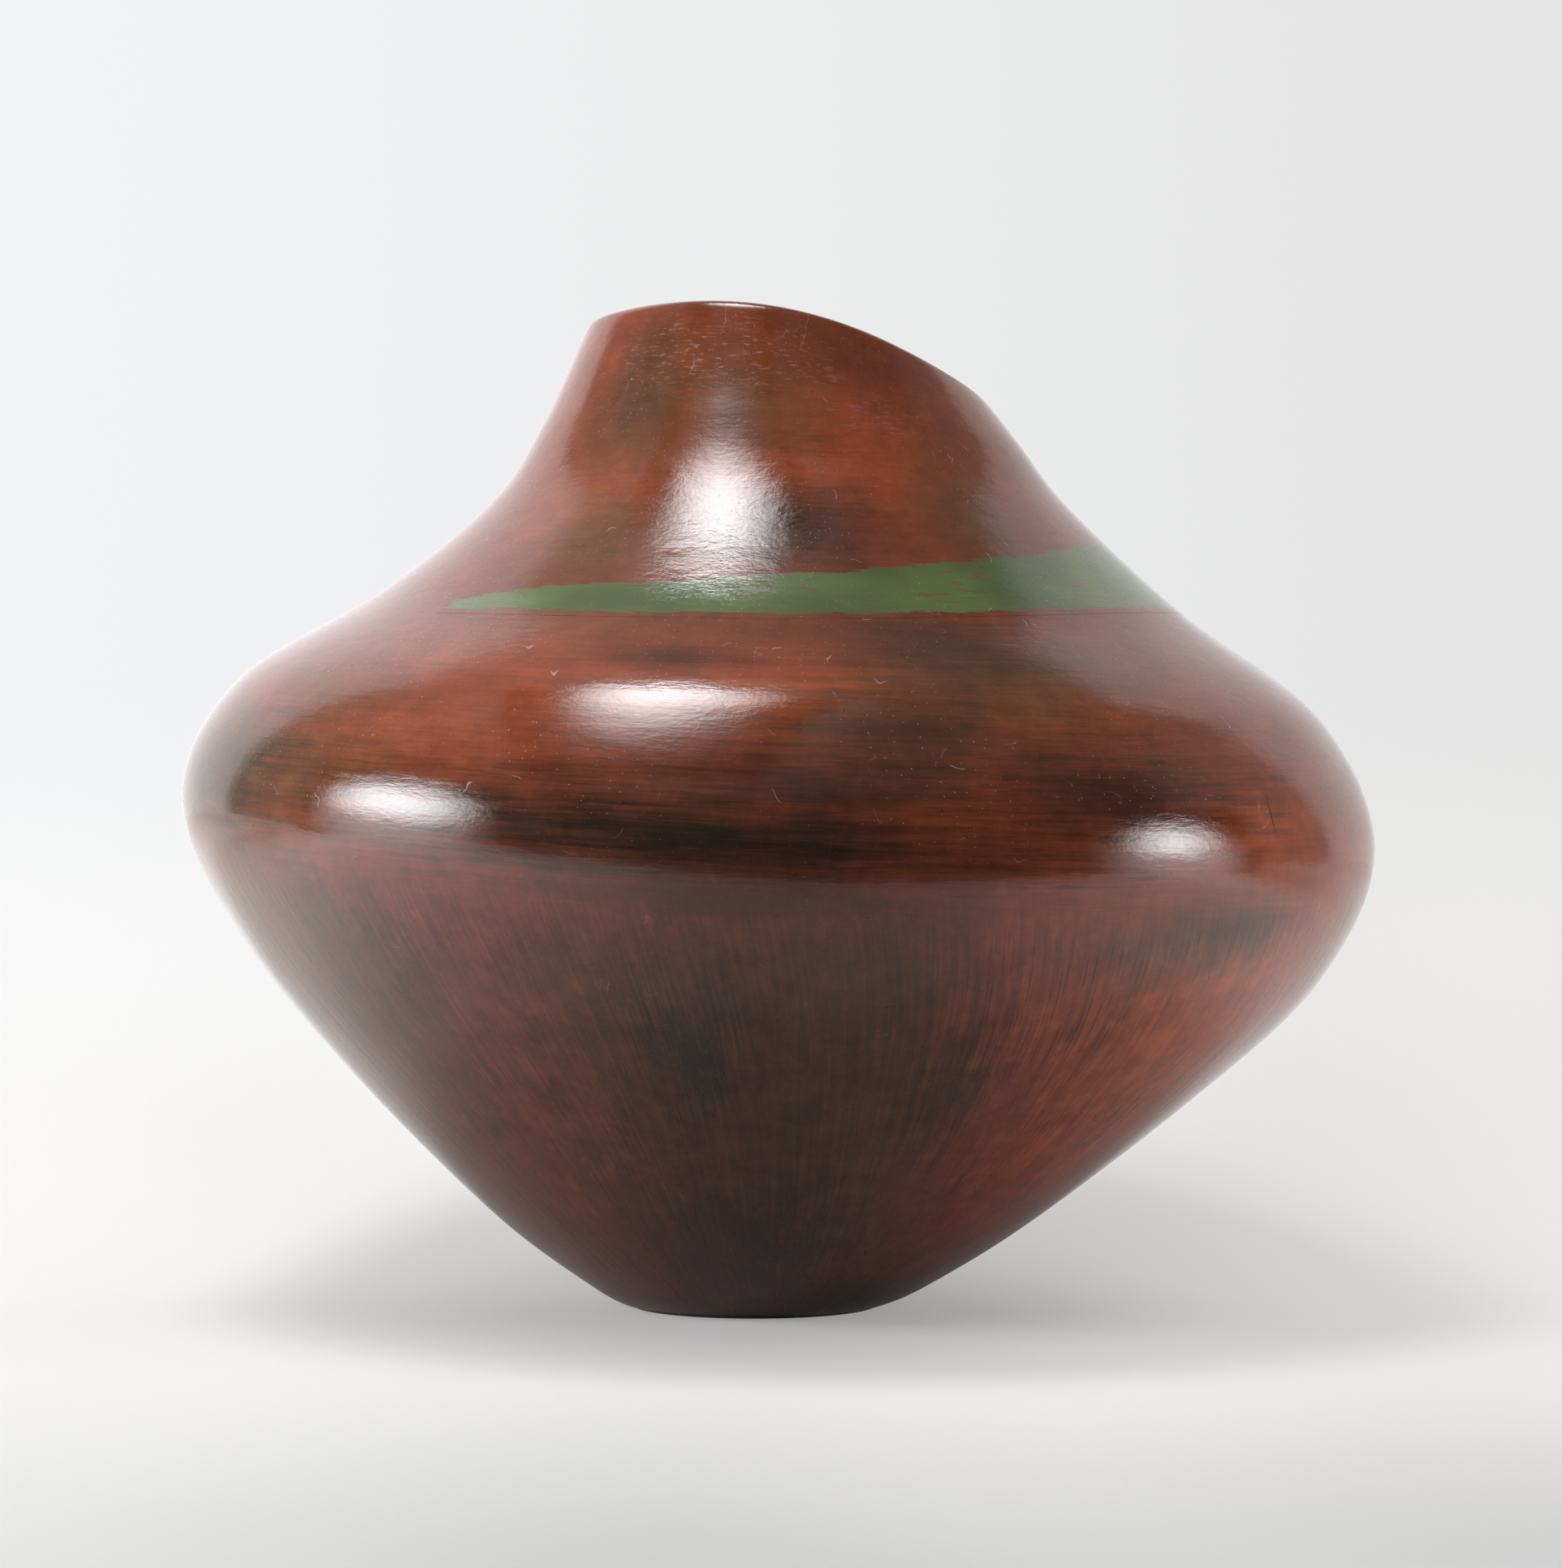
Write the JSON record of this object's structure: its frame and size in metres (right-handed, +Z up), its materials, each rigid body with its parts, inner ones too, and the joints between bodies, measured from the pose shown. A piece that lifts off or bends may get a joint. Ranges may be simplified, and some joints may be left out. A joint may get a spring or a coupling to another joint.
{
  "type": "pottery jar",
  "caption": "Wide-bellied earthenware jar with a small foot, a leaning neck and a lip that rises to one side; burnished red slip with a green band.",
  "frame": {"origin": "middle of the flat foot, on the surface that the jar stands on", "axes": "+Z up out of the mouth, -Y towards the jar's front, +X to the right seen from the front, the side that the lip falls to and the green band is tallest on"},
  "size_m": [0.302, 0.302, 0.2516],
  "materials": {
    "clay": "bare fired clay, matte, scraped smooth",
    "red_slip": "burnished gloss",
    "green_slip": "burnished gloss"
  },
  "bodies": {
    "root": {"base": "clay", "lower_wall": "clay", "upper_wall": "clay", "lower_belly": "clay", "upper_belly": "clay", "lower_shoulder": "clay", "upper_shoulder": "clay", "neck": "clay", "rim": "clay", "red_slip_coat": "red_slip", "green_slip_band": "green_slip"}
  },
  "joints": []
}
